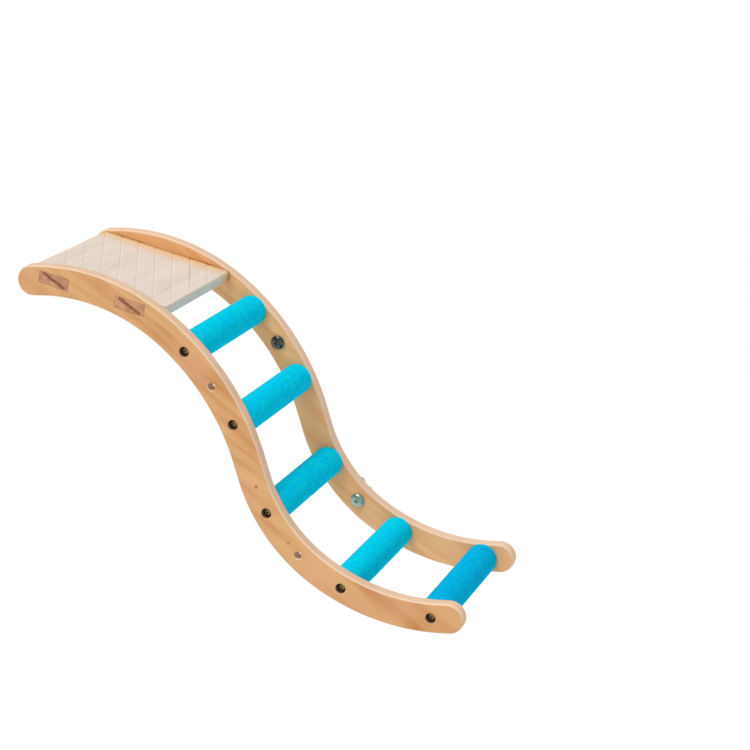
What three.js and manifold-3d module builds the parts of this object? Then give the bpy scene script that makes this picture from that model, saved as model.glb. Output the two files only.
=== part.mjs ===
// A climbing ladder for a small pet: two S-shaped wooden rails, a platform tenoned through them,
// grit-coated rungs held by screws, and two clamp bolts that fix it to the wires of a cage.
// Millimetres. +X runs from the platform to the foot, +Y out of the rear rail, +Z up.
// The origin is on the rear rail's outer face, halfway along its centreline's straight middle run.
import * as THREE from "three";
import { mergeVertices } from "three/addons/utils/BufferGeometryUtils.js";
import Module from "manifold-3d";

const wasm = await Module();
wasm.setup();

// ---- Driving dimensions ----
const OVERALL_WIDTH = 110;
const FIT_GAP = 0.3;
// How far a cutter runs past the face that it cuts.
const OVERSHOOT = 1;
const RAIL = { width: 19, thickness: 8, edgeRound: 1.4, edgeSteps: 2, arcSteps: 10, tipHeading: 4 };
// The rails' centreline from the platform tip to the foot tip. A positive turn bends upwards.
const STRETCHES = [
  { length: 6.2 },
  { radius: 122.4, turn: -41.4 },
  { radius: 147.8, turn: -36.2 },
  { length: 10.8 },
  { radius: 99.4, turn: 42.0 },
  { radius: 124.3, turn: 37.0 },
  { length: 5.1 },
];
const MIDDLE_STRETCH = 3;
// Distances along the centreline from the platform tip.
const RUNG_STATIONS = [111.5, 164.5, 222.4, 287.2, 346.2];
const CLAMP_STATIONS = { upper: 138.2, lower: 254.3 };
const TENON_STATIONS = [15.7, 68.1];

const RUNG = { coreRadius: 8.6, gritRadius: 10, sides: 28 };
const PLATFORM = {
  thickness: 7.4, lift: 0.6, tipOverhang: 18.3, footOverhang: 19.9, edgeRound: 1.2, edgeSteps: 3,
  tenonLength: 20, mortiseGap: 0.5,
};
const GROOVE = {
  angle: 25.5, pitch: 12.3, width: 1.3, depth: 0.55, count: 9, middleFromFootEnd: 43.1, stopFromFootEnd: 14,
};
const WEDGE = { outerThickness: 2, innerThickness: 0.9, depth: 7, cornerClearance: 2.2 };
const SCREW = {
  headRadius: 2.8, headHeight: 2, headBevel: 0.9, headBevelDrop: 0.7,
  shankRadius: 1.6, length: 24, tipLength: 3, pointRadius: 0.3,
  sinkRadius: 3.2, sinkDepth: 2.6, recessSpan: 3, recessWidth: 0.8, recessDepth: 1,
};
const BOLT = {
  headRadius: 4.6, headHeight: 2.6, rimHeight: 0.5, domeSteps: 4,
  shankRadius: 1.9, length: 23, endBevel: 0.6, railHoleRadius: 2.5, boreRadius: 2.3,
  recessSpan: 4, recessWidth: 1, recessDepth: 1.2,
};
const WASHER = { outerRadius: 8, thickness: 1.2 };
const WING_NUT = {
  hubRadius: 4, crownRadius: 3.3, hubHeight: 4.8, span: 20.5, wingHeight: 10.2, wingThickness: 1.9,
  earRadius: 2.2, earDrop: 3, earStart: -0.3, earEnd: 2.94, earSteps: 5,
  webRoot: 3, webFoot: 0.8, webBelly: { inset: 1, height: 2.4 }, webLift: 0.4,
  // How far the wings are turned from the rail's own direction when done up.
  restTurn: 22,
};
const ROUND_SIDES = 18;

// ---- Materials ----
const pine = () => new THREE.MeshStandardMaterial({ color: 0xd9a866, roughness: 0.62, metalness: 0 });
const paleWood = () => new THREE.MeshStandardMaterial({ color: 0xe2d3c4, roughness: 0.7, metalness: 0 });
const darkWood = () => new THREE.MeshStandardMaterial({ color: 0x7a4a26, roughness: 0.7, metalness: 0 });
const cyanGrit = () => new THREE.MeshStandardMaterial({ color: 0x0ab4dc, roughness: 0.95, metalness: 0 });
const steel = () => new THREE.MeshStandardMaterial({ color: 0xb9bcc0, roughness: 0.3, metalness: 1 });
const chrome = () => new THREE.MeshStandardMaterial({ color: 0xdfe2e5, roughness: 0.12, metalness: 1 });

// ---- Solids ----
const radians = THREE.MathUtils.degToRad;
const HALF_TURN = Math.PI;
const QUARTER_TURN = Math.PI / 2;

/** Turns a closed geometry into a solid that can be joined and cut. */
function solid(geometry) {
  const bare = geometry.index ? geometry.toNonIndexed() : geometry.clone();
  bare.deleteAttribute("normal");
  bare.deleteAttribute("uv");
  const merged = mergeVertices(bare, 1e-4);
  return new wasm.Manifold(new wasm.Mesh({
    numProp: 3,
    vertProperties: Float32Array.from(merged.attributes.position.array),
    triVerts: Uint32Array.from(merged.index.array),
  }));
}

/** Cuts every tool geometry out of a base geometry, or joins them to it. */
function combine(base, operation, tools) {
  let body = solid(base);
  for (const tool of tools) {
    body = operation === "cut" ? body.subtract(solid(tool)) : body.add(solid(tool));
  }
  const mesh = body.getMesh();
  const geometry = new THREE.BufferGeometry();
  geometry.setAttribute("position", new THREE.BufferAttribute(new Float32Array(mesh.vertProperties), 3));
  geometry.setIndex(new THREE.BufferAttribute(new Uint32Array(mesh.triVerts), 1));
  geometry.computeVertexNormals();
  return geometry;
}

/** A named mesh with its own material. */
function piece(name, geometry, material) {
  const mesh = new THREE.Mesh(geometry, material);
  mesh.name = name;
  return mesh;
}

/** A solid of revolution about +Y, from [radius, height] points that start and end on the axis. */
function turned(points, sides = ROUND_SIDES) {
  return new THREE.LatheGeometry(points.map(([r, y]) => new THREE.Vector2(r, y)), sides);
}

/** A plain round bar along +Y between two heights. */
function bar(radius, low, high, sides = ROUND_SIDES) {
  return turned([[0, low], [radius, low], [radius, high], [0, high]], sides);
}

/** A cross-shaped recess cutter pointing along +Y, sunk below a given height. */
function crossRecess({ recessSpan, recessWidth, recessDepth }, top) {
  const reach = recessDepth + OVERSHOOT;
  const middleHeight = top + OVERSHOOT - reach / 2;
  const arm = (x, z) => new THREE.BoxGeometry(x, reach, z).translate(0, middleHeight, 0);
  return [arm(recessSpan, recessWidth), arm(recessWidth, recessSpan)];
}

// ---- The rails' centreline ----
/** Walks the stretches once, keeping each one's start point, start heading and signed radius. */
function layOutCentreline() {
  let point = new THREE.Vector2();
  let heading = radians(RAIL.tipHeading);
  let start = 0;
  return STRETCHES.map((stretch) => {
    const turn = radians(stretch.turn ?? 0);
    const length = stretch.length ?? stretch.radius * Math.abs(turn);
    const radius = turn ? Math.sign(turn) * stretch.radius : Infinity;
    const laid = { point, heading, start, length, radius, turn };
    point = along(laid, length).point;
    heading += turn;
    start += length;
    return laid;
  });
}

/** The point and heading at a distance into one stretch. */
function along({ point, heading, radius }, distance) {
  if (!Number.isFinite(radius)) {
    const step = new THREE.Vector2(Math.cos(heading), Math.sin(heading)).multiplyScalar(distance);
    return { point: point.clone().add(step), heading };
  }
  const later = heading + distance / radius;
  const dx = radius * (Math.sin(later) - Math.sin(heading));
  const dz = radius * (Math.cos(heading) - Math.cos(later));
  return { point: point.clone().add(new THREE.Vector2(dx, dz)), heading: later };
}

const unshifted = layOutCentreline();
const middle = along(unshifted[MIDDLE_STRETCH], unshifted[MIDDLE_STRETCH].length / 2).point;
const centreline = unshifted.map((laid) => ({ ...laid, point: laid.point.clone().sub(middle) }));

/** The point and heading at a distance along the whole centreline. */
function station(distance) {
  const laid = centreline.findLast(({ start }) => start <= distance);
  return along(laid, distance - laid.start);
}

// ---- Rails ----
/** Adds one side of a rail to its outline: the centreline moved sideways, left being positive. */
function traceSide(outline, offset, backwards) {
  const order = backwards ? [...centreline].reverse() : centreline;
  for (const { point, heading, length, radius, turn } of order) {
    const side = heading + QUARTER_TURN;
    if (!turn) {
      const reach = backwards ? 0 : length;
      outline.lineTo(
        point.x + reach * Math.cos(heading) + offset * Math.cos(side),
        point.y + reach * Math.sin(heading) + offset * Math.sin(side),
      );
      continue;
    }
    const centre = { x: point.x + radius * Math.cos(side), y: point.y + radius * Math.sin(side) };
    const spoke = heading - QUARTER_TURN * Math.sign(turn);
    const from = backwards ? spoke + turn : spoke;
    const to = backwards ? spoke : spoke + turn;
    outline.absarc(centre.x, centre.y, Math.abs(radius) - offset * Math.sign(turn), from, to, to < from);
  }
}

/** The rail's outline: an even S-shaped strip with a half-round end at each tip. */
function railOutline() {
  const half = RAIL.width / 2;
  const tip = centreline[0];
  const last = centreline[centreline.length - 1];
  const foot = along(last, last.length);
  const outline = new THREE.Shape();
  const tipSide = tip.heading + QUARTER_TURN;
  outline.moveTo(tip.point.x + half * Math.cos(tipSide), tip.point.y + half * Math.sin(tipSide));
  traceSide(outline, half, false);
  const footSide = foot.heading + QUARTER_TURN;
  outline.absarc(foot.point.x, foot.point.y, half, footSide, footSide - HALF_TURN, true);
  traceSide(outline, -half, true);
  outline.absarc(tip.point.x, tip.point.y, half, tipSide + HALF_TURN, tipSide, true);
  return outline;
}

/** A rail with its outer face on y = 0, its inner face at y = -thickness, and every hole cut. */
function railGeometry(platform) {
  const blank = new THREE.ExtrudeGeometry(railOutline(), {
    depth: RAIL.thickness - 2 * RAIL.edgeRound,
    bevelThickness: RAIL.edgeRound,
    bevelSize: RAIL.edgeRound,
    bevelOffset: -RAIL.edgeRound,
    bevelSegments: RAIL.edgeSteps,
    curveSegments: RAIL.arcSteps,
  });
  blank.translate(0, 0, RAIL.edgeRound).rotateX(QUARTER_TURN);
  const farSide = -RAIL.thickness - OVERSHOOT;
  const cutters = [];
  for (const distance of RUNG_STATIONS) {
    const { point } = station(distance);
    const sinkFloor = -SCREW.sinkDepth - SCREW.headHeight;
    cutters.push(
      bar(SCREW.shankRadius + FIT_GAP, farSide, OVERSHOOT).translate(point.x, 0, point.y),
      bar(SCREW.sinkRadius, sinkFloor, OVERSHOOT).translate(point.x, 0, point.y),
    );
  }
  for (const distance of Object.values(CLAMP_STATIONS)) {
    const { point } = station(distance);
    cutters.push(bar(BOLT.railHoleRadius, farSide, OVERSHOOT).translate(point.x, 0, point.y));
  }
  for (const centre of platform.tenonCentres) {
    const mortise = new THREE.BoxGeometry(
      PLATFORM.tenonLength + 2 * PLATFORM.mortiseGap,
      RAIL.thickness + 2 * OVERSHOOT,
      PLATFORM.thickness + 2 * PLATFORM.mortiseGap,
    );
    cutters.push(mortise.rotateY(-platform.slope).translate(centre.x, -RAIL.thickness / 2, centre.y));
  }
  return combine(blank, "cut", cutters);
}

// ---- Platform ----
/** Where the platform lies: a chord of the rails' arch through the two tenon stations. */
function layOutPlatform() {
  const [first, second] = TENON_STATIONS.map((distance) => station(distance).point);
  const chord = second.clone().sub(first);
  const slope = chord.angle() > HALF_TURN ? chord.angle() - 2 * HALF_TURN : chord.angle();
  const lift = new THREE.Vector2(-Math.sin(slope), Math.cos(slope)).multiplyScalar(PLATFORM.lift);
  const tenonCentres = [first.add(lift), second.add(lift)];
  return { slope, tenonCentres, tenonSpacing: chord.length() };
}

/** A diagonal wedge blank or its kerf, in the tenon's frame, driven in from +Y. */
function wedgeGeometry(margin) {
  const diagonal = Math.hypot(PLATFORM.tenonLength, PLATFORM.thickness);
  const tilt = Math.atan2(PLATFORM.thickness, PLATFORM.tenonLength);
  const length = diagonal - 2 * WEDGE.cornerClearance + 2 * margin;
  const outer = WEDGE.outerThickness / 2 + margin;
  const inner = WEDGE.innerThickness / 2 + margin;
  const profile = new THREE.Shape();
  profile.moveTo(-inner, -WEDGE.depth - margin);
  profile.lineTo(inner, -WEDGE.depth - margin);
  profile.lineTo(outer, margin ? OVERSHOOT : 0);
  profile.lineTo(-outer, margin ? OVERSHOOT : 0);
  profile.closePath();
  const blank = new THREE.ExtrudeGeometry(profile, { depth: length, bevelEnabled: false });
  return blank.translate(0, 0, -length / 2).rotateY(QUARTER_TURN - tilt);
}

/** The board in its own frame: x down the slope from the first tenon, z out of its top face. */
function platformGeometry(spacing) {
  const width = OVERALL_WIDTH - 2 * (RAIL.thickness + FIT_GAP);
  const length = PLATFORM.tipOverhang + spacing + PLATFORM.footOverhang;
  const middleX = length / 2 - PLATFORM.tipOverhang;
  const top = PLATFORM.thickness / 2;
  const edge = PLATFORM.edgeRound;
  const section = new THREE.Shape();
  const [left, right] = [middleX - length / 2, middleX + length / 2];
  section.moveTo(left + edge, -top);
  section.lineTo(right - edge, -top);
  section.absarc(right - edge, -top + edge, edge, -QUARTER_TURN, 0, false);
  section.absarc(right - edge, top - edge, edge, 0, QUARTER_TURN, false);
  section.absarc(left + edge, top - edge, edge, QUARTER_TURN, HALF_TURN, false);
  section.absarc(left + edge, -top + edge, edge, HALF_TURN, 3 * QUARTER_TURN, false);
  const board = new THREE.ExtrudeGeometry(section, {
    depth: width,
    bevelEnabled: false,
    curveSegments: PLATFORM.edgeSteps,
  });
  board.translate(0, 0, -width / 2).rotateX(QUARTER_TURN);

  const tenonReach = OVERALL_WIDTH;
  const tenons = [0, spacing].map((x) => (
    new THREE.BoxGeometry(PLATFORM.tenonLength, tenonReach, PLATFORM.thickness).translate(x, 0, 0)
  ));
  const body = combine(board, "join", tenons);

  const cutters = [];
  for (let i = 0; i < GROOVE.count; i += 1) {
    const blade = new THREE.BoxGeometry(GROOVE.width, OVERALL_WIDTH, 2 * GROOVE.depth);
    const x = right - GROOVE.middleFromFootEnd + (i - (GROOVE.count - 1) / 2) * GROOVE.pitch;
    cutters.push(blade.rotateZ(radians(GROOVE.angle)).translate(x, 0, top));
  }
  const stopGroove = new THREE.BoxGeometry(GROOVE.width, OVERALL_WIDTH, 2 * GROOVE.depth);
  cutters.push(stopGroove.translate(right - GROOVE.stopFromFootEnd, 0, top));
  for (const x of [0, spacing]) {
    cutters.push(wedgeGeometry(FIT_GAP).translate(x, tenonReach / 2, 0));
    cutters.push(wedgeGeometry(FIT_GAP).rotateZ(HALF_TURN).translate(x, -tenonReach / 2, 0));
  }
  return combine(body, "cut", cutters);
}

/** The platform board and its four wedges, in one sloping group. */
function buildPlatform(platform) {
  const group = new THREE.Group();
  const spacing = platform.tenonSpacing;
  group.position.set(platform.tenonCentres[0].x, -OVERALL_WIDTH / 2, platform.tenonCentres[0].y);
  group.rotation.y = -platform.slope;
  group.add(piece("platform_board", platformGeometry(spacing), paleWood()));
  for (const [row, x] of [["upper", 0], ["lower", spacing]]) {
    for (const [side, turn] of [["rear", 0], ["front", HALF_TURN]]) {
      const wedge = piece(`${side}_${row}_tenon_wedge`, wedgeGeometry(0), darkWood());
      wedge.position.set(x, (turn ? -1 : 1) * (OVERALL_WIDTH / 2), 0);
      wedge.rotation.z = turn;
      group.add(wedge);
    }
  }
  return group;
}

// ---- Rungs ----
/** A pan-head wood screw along +Y, its head's top at y = 0 and its point at y = -length. */
function screwGeometry() {
  const { headRadius, headHeight, headBevel, headBevelDrop, shankRadius, length, tipLength } = SCREW;
  const blank = turned([
    [0, -length],
    [SCREW.pointRadius, -length],
    [shankRadius, tipLength - length],
    [shankRadius, -headHeight],
    [headRadius, -headHeight],
    [headRadius, -headBevelDrop],
    [headRadius - headBevel, 0],
    [0, 0],
  ]);
  return combine(blank, "cut", crossRecess(SCREW, 0));
}

/** A round bar between the rails, bored at both ends for the screws. */
function rungCoreGeometry() {
  const half = OVERALL_WIDTH / 2 - RAIL.thickness - FIT_GAP;
  const boreDepth = SCREW.sinkDepth + SCREW.length - RAIL.thickness + OVERSHOOT;
  const bore = (low, high) => bar(SCREW.shankRadius + FIT_GAP, low, high);
  return combine(bar(RUNG.coreRadius, -half, half, RUNG.sides), "cut", [
    bore(half - boreDepth, half + OVERSHOOT),
    bore(-half - OVERSHOOT, boreDepth - half),
  ]);
}

/** The grit coat: a sleeve over the core, a closed ring profile turned about the rung's axis. */
function gritSleeveGeometry() {
  const half = OVERALL_WIDTH / 2 - RAIL.thickness - FIT_GAP;
  const inner = RUNG.coreRadius + FIT_GAP;
  const outer = RUNG.gritRadius;
  return turned([[inner, -half], [outer, -half], [outer, half], [inner, half], [inner, -half]], RUNG.sides);
}

/** One rung with its core, grit sleeve and the screw through each rail. */
function buildRung(number, point) {
  const group = new THREE.Group();
  group.position.set(point.x, -OVERALL_WIDTH / 2, point.y);
  group.add(piece(`rung_core_${number}`, rungCoreGeometry(), pine()));
  group.add(piece(`rung_grit_sleeve_${number}`, gritSleeveGeometry(), cyanGrit()));
  const headTop = OVERALL_WIDTH / 2 - SCREW.sinkDepth + FIT_GAP;
  for (const [side, sign] of [["rear", 1], ["front", -1]]) {
    const screw = piece(`${side}_rung_screw_${number}`, screwGeometry(), steel());
    screw.position.y = sign * headTop;
    screw.rotation.x = sign > 0 ? 0 : HALF_TURN;
    group.add(screw);
  }
  return group;
}

// ---- Cage clamps ----
/** A domed bolt along +Y whose head's flat underside is at y = 0, so the head is on the -Y side. */
function boltGeometry() {
  const { headRadius, headHeight, rimHeight, domeSteps, shankRadius, length, endBevel } = BOLT;
  const dome = [];
  for (let i = 0; i <= domeSteps; i += 1) {
    const angle = QUARTER_TURN * (i / domeSteps);
    const rise = (headHeight - rimHeight) * Math.cos(angle);
    dome.push([headRadius * Math.sin(angle), -rimHeight - rise]);
  }
  const blank = turned([
    ...dome,
    [headRadius, 0],
    [shankRadius, 0],
    [shankRadius, length - endBevel],
    [shankRadius - endBevel, length],
    [0, length],
  ]);
  const recess = crossRecess(BOLT, headHeight).map((cutter) => cutter.rotateX(HALF_TURN));
  return combine(blank, "cut", recess);
}

/** A flat ring whose lower face is at y = 0. */
function washerGeometry() {
  const { outerRadius, thickness } = WASHER;
  const inner = BOLT.boreRadius;
  const ring = [[inner, 0], [outerRadius, 0], [outerRadius, thickness], [inner, thickness], [inner, 0]];
  return turned(ring, RUNG.sides);
}

/** One wing's outline: a web that rises from the hub to a round ear. */
function wingOutline() {
  const { hubRadius, hubHeight, wingHeight, earRadius, webRoot, webFoot, webBelly, webLift } = WING_NUT;
  const reach = WING_NUT.span / 2;
  const earHeight = wingHeight - earRadius;
  const outline = new THREE.Shape();
  outline.moveTo(webRoot, webFoot);
  outline.lineTo(hubRadius, webFoot);
  outline.quadraticCurveTo(reach - webBelly.inset, webBelly.height, reach, wingHeight - WING_NUT.earDrop);
  outline.absarc(reach - earRadius, earHeight, earRadius, WING_NUT.earStart, WING_NUT.earEnd, false);
  outline.quadraticCurveTo(hubRadius + webLift, hubHeight + webLift, webRoot, hubHeight);
  outline.closePath();
  return outline;
}

/** A wing nut along +Y, its seat at y = 0, with two upswept wings. */
function wingNutGeometry() {
  const { hubRadius, crownRadius, hubHeight, wingHeight, wingThickness, earSteps } = WING_NUT;
  const outline = wingOutline();
  const options = { depth: wingThickness, bevelEnabled: false, curveSegments: earSteps };
  const wings = [0, HALF_TURN].map((turn) => (
    new THREE.ExtrudeGeometry(outline, options).translate(0, 0, -wingThickness / 2).rotateY(turn)
  ));
  const hub = turned([[0, 0], [hubRadius, 0], [crownRadius, hubHeight], [0, hubHeight]]);
  const nut = combine(hub, "join", wings);
  return combine(nut, "cut", [bar(BOLT.boreRadius, -OVERSHOOT, wingHeight + OVERSHOOT)]);
}

/** One clamp: the bolt through the rear rail, and the washer and wing nut outside it. */
function buildClamp(name, { point, heading }) {
  const group = new THREE.Group();
  group.position.set(point.x, 0, point.y);
  const bolt = piece(`${name}_clamp_bolt`, boltGeometry(), chrome());
  bolt.position.y = -RAIL.thickness - FIT_GAP;
  const washer = piece(`${name}_clamp_washer`, washerGeometry(), steel());
  washer.position.y = FIT_GAP;
  const nut = piece(`${name}_wing_nut`, wingNutGeometry(), chrome());
  nut.position.y = 2 * FIT_GAP + WASHER.thickness;
  nut.rotation.y = radians(WING_NUT.restTurn) - heading;
  group.add(bolt, washer, nut);
  return group;
}

// ---- Assembly ----
const ladder = new THREE.Group();
const platform = layOutPlatform();

const rearRail = piece("rear_rail", railGeometry(platform), pine());
const frontRail = piece("front_rail", railGeometry(platform), pine());
// The front rail is the rear one mirrored across the width, so that its sunk screws face outwards.
frontRail.geometry.scale(1, -1, 1);
frontRail.geometry.setIndex([...frontRail.geometry.index.array].reverse());
frontRail.geometry.computeVertexNormals();
frontRail.position.y = -OVERALL_WIDTH;
ladder.add(rearRail, frontRail, buildPlatform(platform));

RUNG_STATIONS.forEach((distance, index) => {
  ladder.add(buildRung(index + 1, station(distance).point));
});
for (const [name, distance] of Object.entries(CLAMP_STATIONS)) {
  ladder.add(buildClamp(name, station(distance)));
}

export default ladder;
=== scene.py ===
"""Looks of a small pet's climbing ladder: S-shaped pine rails, a grooved platform and grit-coated rungs.

Metres. +X runs from the platform to the foot, +Y out of the rear rail and +Z up. The finer pieces here
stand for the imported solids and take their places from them; the wedges and rung cores are kept as packed.
"""

import logging
import math
from dataclasses import dataclass, field
from enum import Enum
from typing import Any

import bmesh
import bpy
from mathutils import Euler, Matrix, Vector

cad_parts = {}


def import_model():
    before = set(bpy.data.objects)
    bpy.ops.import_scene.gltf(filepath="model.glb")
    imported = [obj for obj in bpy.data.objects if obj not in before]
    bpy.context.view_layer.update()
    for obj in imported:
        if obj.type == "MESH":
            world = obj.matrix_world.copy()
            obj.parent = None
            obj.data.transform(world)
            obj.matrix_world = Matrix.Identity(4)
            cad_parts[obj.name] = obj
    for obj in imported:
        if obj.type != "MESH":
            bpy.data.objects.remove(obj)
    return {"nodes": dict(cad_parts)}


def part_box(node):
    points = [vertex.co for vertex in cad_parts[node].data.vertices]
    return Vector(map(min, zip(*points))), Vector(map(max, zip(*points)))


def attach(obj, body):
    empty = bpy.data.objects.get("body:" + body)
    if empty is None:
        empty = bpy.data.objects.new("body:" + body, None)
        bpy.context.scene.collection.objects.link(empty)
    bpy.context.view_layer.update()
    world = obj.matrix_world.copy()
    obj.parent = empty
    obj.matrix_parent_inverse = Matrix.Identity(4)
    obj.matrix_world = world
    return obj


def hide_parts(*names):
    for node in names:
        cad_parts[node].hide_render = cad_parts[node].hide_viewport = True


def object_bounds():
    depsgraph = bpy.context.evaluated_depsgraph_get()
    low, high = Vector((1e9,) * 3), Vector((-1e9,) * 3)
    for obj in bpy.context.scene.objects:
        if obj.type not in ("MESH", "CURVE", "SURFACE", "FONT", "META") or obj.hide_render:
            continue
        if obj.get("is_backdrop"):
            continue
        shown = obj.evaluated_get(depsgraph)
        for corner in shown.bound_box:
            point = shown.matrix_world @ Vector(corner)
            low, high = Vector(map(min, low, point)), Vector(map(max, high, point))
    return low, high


log = logging.getLogger("ladder")

MM = 0.001
TURN = 2 * math.pi
ACROSS = Vector((0, 1, 0))


class Joinery(Enum):
    """How one solid changes another."""

    CUT = "DIFFERENCE"
    JOIN = "UNION"


class Side(Enum):
    """The two rails, with the direction that leads out of each across the ladder."""

    FRONT = -1
    REAR = 1

    @property
    def title(self) -> str:
        """The side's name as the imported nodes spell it."""
        return self.name.lower()


# ---------------------------------------------------------------- shader sums


class Wire:
    """One output of a node, which takes part in Python sums as a number does."""

    def __init__(self, sheet: "NodeSheet", socket: bpy.types.NodeSocket) -> None:
        """Keeps the sheet that new nodes are drawn on, and the socket."""
        self.sheet = sheet
        self.socket = socket

    def _sum(self, operation: str, first: Any, second: Any) -> "Wire":
        """Adds one Math node."""
        return self.sheet.node("ShaderNodeMath", {"operation": operation}, {0: first, 1: second})

    def __add__(self, other: Any) -> "Wire":
        """self + other."""
        return self._sum("ADD", self, other)

    def __radd__(self, other: Any) -> "Wire":
        """other + self."""
        return self._sum("ADD", other, self)

    def __sub__(self, other: Any) -> "Wire":
        """self - other."""
        return self._sum("SUBTRACT", self, other)

    def __rsub__(self, other: Any) -> "Wire":
        """other - self."""
        return self._sum("SUBTRACT", other, self)

    def __mul__(self, other: Any) -> "Wire":
        """self * other."""
        return self._sum("MULTIPLY", self, other)

    def __rmul__(self, other: Any) -> "Wire":
        """other * self."""
        return self._sum("MULTIPLY", other, self)

    def __truediv__(self, other: Any) -> "Wire":
        """self / other."""
        return self._sum("DIVIDE", self, other)

    def __pow__(self, other: Any) -> "Wire":
        """self ** other."""
        return self._sum("POWER", self, other)

    def __abs__(self) -> "Wire":
        """abs(self)."""
        return self._sum("ABSOLUTE", self, 0.0)


class NodeSheet:
    """A material's node tree, with one method that adds any node."""

    def __init__(self, name: str) -> None:
        """Starts an empty material.

        Args:
            name: The material's name.
        """
        self.material = bpy.data.materials.new(name)
        self.material.use_nodes = True
        self.tree = self.material.node_tree
        self.tree.nodes.clear()

    def node(
        self,
        kind: str,
        settings: dict[str, Any] | None = None,
        sockets: dict[str | int, Any] | None = None,
        output: str | int = 0,
    ) -> Wire:
        """Adds a node, sets it up and feeds it.

        Args:
            kind: The node's type name.
            settings: Its properties; "stops" is a ramp's list of (position, colour).
            sockets: A number, colour or Wire for each named or numbered input.
            output: Which output to hand back.

        Returns:
            The chosen output.
        """
        made = self.tree.nodes.new(kind)
        for name, value in (settings or {}).items():
            if name == "stops":
                self._set_stops(made.color_ramp, value)
            else:
                setattr(made, name, value)
        for name, value in (sockets or {}).items():
            if isinstance(value, Wire):
                self.tree.links.new(value.socket, made.inputs[name])
            else:
                made.inputs[name].default_value = value
        return Wire(self, made.outputs[output])

    @staticmethod
    def _set_stops(ramp: bpy.types.ColorRamp, stops: list[tuple[float, tuple]]) -> None:
        """Gives a colour ramp its stops.

        Args:
            ramp: The ramp to fill.
            stops: (position, colour) pairs from low to high.
        """
        while len(ramp.elements) < len(stops):
            ramp.elements.new(1.0)
        for element, (position, colour) in zip(ramp.elements, stops):
            element.position = position
            element.color = colour

    def ramp(self, value: Wire, stops: list[tuple[float, float]]) -> Wire:
        """A grey ramp of a value, as a number.

        Args:
            value: What is looked up.
            stops: (position, level) pairs from low to high.

        Returns:
            The level.
        """
        greys = [(position, (level, level, level, 1)) for position, level in stops]
        shade = self.node("ShaderNodeValToRGB", {"stops": greys}, {"Fac": value})
        return self.node("ShaderNodeSeparateColor", None, {"Color": shade})

    def mix(self, factor: Any, first: Any, second: Any, blend: str = "MIX") -> Wire:
        """Mixes two colours.

        Args:
            factor: How much of the second.
            first: A colour or Wire.
            second: A colour or Wire.
            blend: The Mix node's blend type.

        Returns:
            The mixed colour.
        """
        sockets = {0: factor, 6: first, 7: second}
        return self.node("ShaderNodeMix", {"data_type": "RGBA", "blend_type": blend}, sockets, 2)

    def place(
        self,
        scale: tuple[float, float, float],
        turn: tuple[float, float, float] = (0, 0, 0),
        shift: tuple[float, float, float] = (0, 0, 0),
    ) -> Wire:
        """Object coordinates, turned and then stretched.

        Args:
            scale: Repeats in each metre along each turned axis.
            turn: Euler angles in radians that lay the pattern's X along the piece.
            shift: Moves the pattern before it is stretched, in metres.

        Returns:
            The coordinate vector.
        """
        point = self.node("ShaderNodeTexCoord", output="Object")
        turned = self.node(
            "ShaderNodeMapping",
            {"vector_type": "POINT"},
            {"Vector": point, "Rotation": turn, "Location": shift},
        )
        return self.node(
            "ShaderNodeMapping", {"vector_type": "POINT"}, {"Vector": turned, "Scale": scale}
        )

    def noise(self, vector: Wire, scale: float, detail: float = 3.0, roughness: float = 0.5) -> Wire:
        """A noise value from 0 to 1 at a coordinate."""
        sockets = {"Vector": vector, "Scale": scale, "Detail": detail, "Roughness": roughness}
        return self.node("ShaderNodeTexNoise", {"noise_dimensions": "3D"}, sockets)

    def split(self, vector: Wire) -> tuple[Wire, Wire, Wire]:
        """A vector's three numbers."""
        parts = self.node("ShaderNodeSeparateXYZ", None, {"Vector": vector})
        outputs = parts.socket.node.outputs
        return tuple(Wire(self, outputs[i]) for i in range(3))

    def bump(self, height: Wire, distance: float, strength: float = 1.0) -> Wire:
        """A normal raised by a height, whose full swing is a distance in metres."""
        sockets = {"Height": height, "Distance": distance, "Strength": strength}
        return self.node("ShaderNodeBump", None, sockets)

    def surface(self, **sockets: Any) -> bpy.types.Material:
        """Ends the tree in a Principled shader.

        Args:
            **sockets: Its inputs, with underscores for the spaces in their names.

        Returns:
            The finished material.
        """
        named = {name.replace("_", " "): value for name, value in sockets.items()}
        shader = self.node("ShaderNodeBsdfPrincipled", None, named)
        self.node_output(shader)
        return self.material

    def node_output(self, shader: Wire) -> None:
        """Feeds the material's output."""
        made = self.tree.nodes.new("ShaderNodeOutputMaterial")
        self.tree.links.new(shader.socket, made.inputs["Surface"])


# ---------------------------------------------------------------- finishes


def paint(red: int, green: int, blue: int) -> tuple[float, float, float, float]:
    """A linear colour from display levels.

    Args:
        red: 0 to 255.
        green: 0 to 255.
        blue: 0 to 255.

    Returns:
        Linear red, green, blue and 1.
    """

    def linear(level: int) -> float:
        """One channel on the display's curve, made linear."""
        share = level / 255
        return share / 12.92 if share <= 0.04045 else ((share + 0.055) / 1.055) ** 2.4

    return (linear(red), linear(green), linear(blue), 1.0)


@dataclass(frozen=True)
class PaintedLightBand:
    """A soft straight band of painted light or shade, such as the warm light that a rail throws on the board beside
    it, or the painted shadow in the gap along that rail.
    """

    colour: tuple
    across: tuple[float, float, float]
    offset: float
    reach: float
    share: float

    def lay(self, sheet: NodeSheet, colour: Wire) -> Wire:
        """Lays the band over a colour.

        Args:
            sheet: The material's nodes.
            colour: What is there.

        Returns:
            The banded colour.
        """
        point = sheet.node("ShaderNodeTexCoord", output="Object")
        place = sheet.node(
            "ShaderNodeVectorMath", {"operation": "DOT_PRODUCT"}, {0: point, 1: self.across}, "Value"
        )
        away = abs(place - self.offset) / self.reach
        level = sheet.ramp(away, [(0.0, self.share), (0.35, self.share * 0.6), (1.0, 0.0)])
        return sheet.mix(level, colour, self.colour)


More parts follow.
